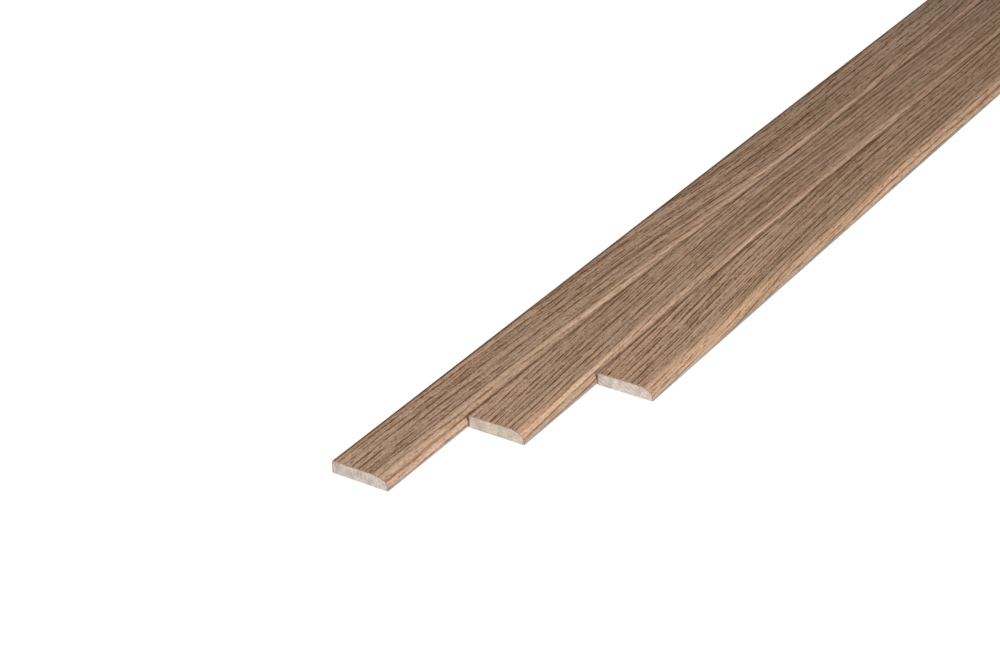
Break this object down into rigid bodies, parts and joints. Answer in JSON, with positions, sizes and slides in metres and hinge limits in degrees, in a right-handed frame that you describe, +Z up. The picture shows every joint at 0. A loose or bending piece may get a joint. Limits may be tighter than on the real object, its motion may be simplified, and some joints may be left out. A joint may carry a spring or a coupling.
{
  "type": "threshold strip",
  "caption": "Flat timber threshold strips laid side by side, each an oak veneer wrapped over a softwood core, with one square long edge and one rounded over to a low lip.",
  "frame": {"origin": "centre of the whole set's outline, on the surface that the strips lie on", "axes": "+X across the strips towards their rounded edges, +Y along the strips away from the stepped front ends that are seen first, +Z up"},
  "size_m": [0.1098, 1.0568, 0.008],
  "materials": {
    "oak_veneer": "matt lacquered brown oak veneer with dark open pores along the strip",
    "pine_core": "raw pale softwood, sawn ends and planed underside"
  },
  "bodies": {
    "strip_1": {"strip_1_oak_veneer": "oak_veneer", "strip_1_core_block_1": "pine_core", "strip_1_core_block_2": "pine_core", "strip_1_core_block_3": "pine_core", "strip_1_core_block_4": "pine_core"},
    "strip_2": {"strip_2_oak_veneer": "oak_veneer", "strip_2_core_block_1": "pine_core", "strip_2_core_block_2": "pine_core", "strip_2_core_block_3": "pine_core", "strip_2_core_block_4": "pine_core"},
    "strip_3": {"strip_3_oak_veneer": "oak_veneer", "strip_3_core_block_1": "pine_core", "strip_3_core_block_2": "pine_core", "strip_3_core_block_3": "pine_core", "strip_3_core_block_4": "pine_core"}
  },
  "joints": [
    {"name": "strip_2_slide", "type": "slide", "parent": "strip_1", "child": "strip_2", "axis": [0, 1, 0], "range_m": [-0.0784, 0.0784]},
    {"name": "strip_3_slide", "type": "slide", "parent": "strip_2", "child": "strip_3", "axis": [0, 1, 0], "range_m": [-0.0784, 0.0784]}
  ]
}
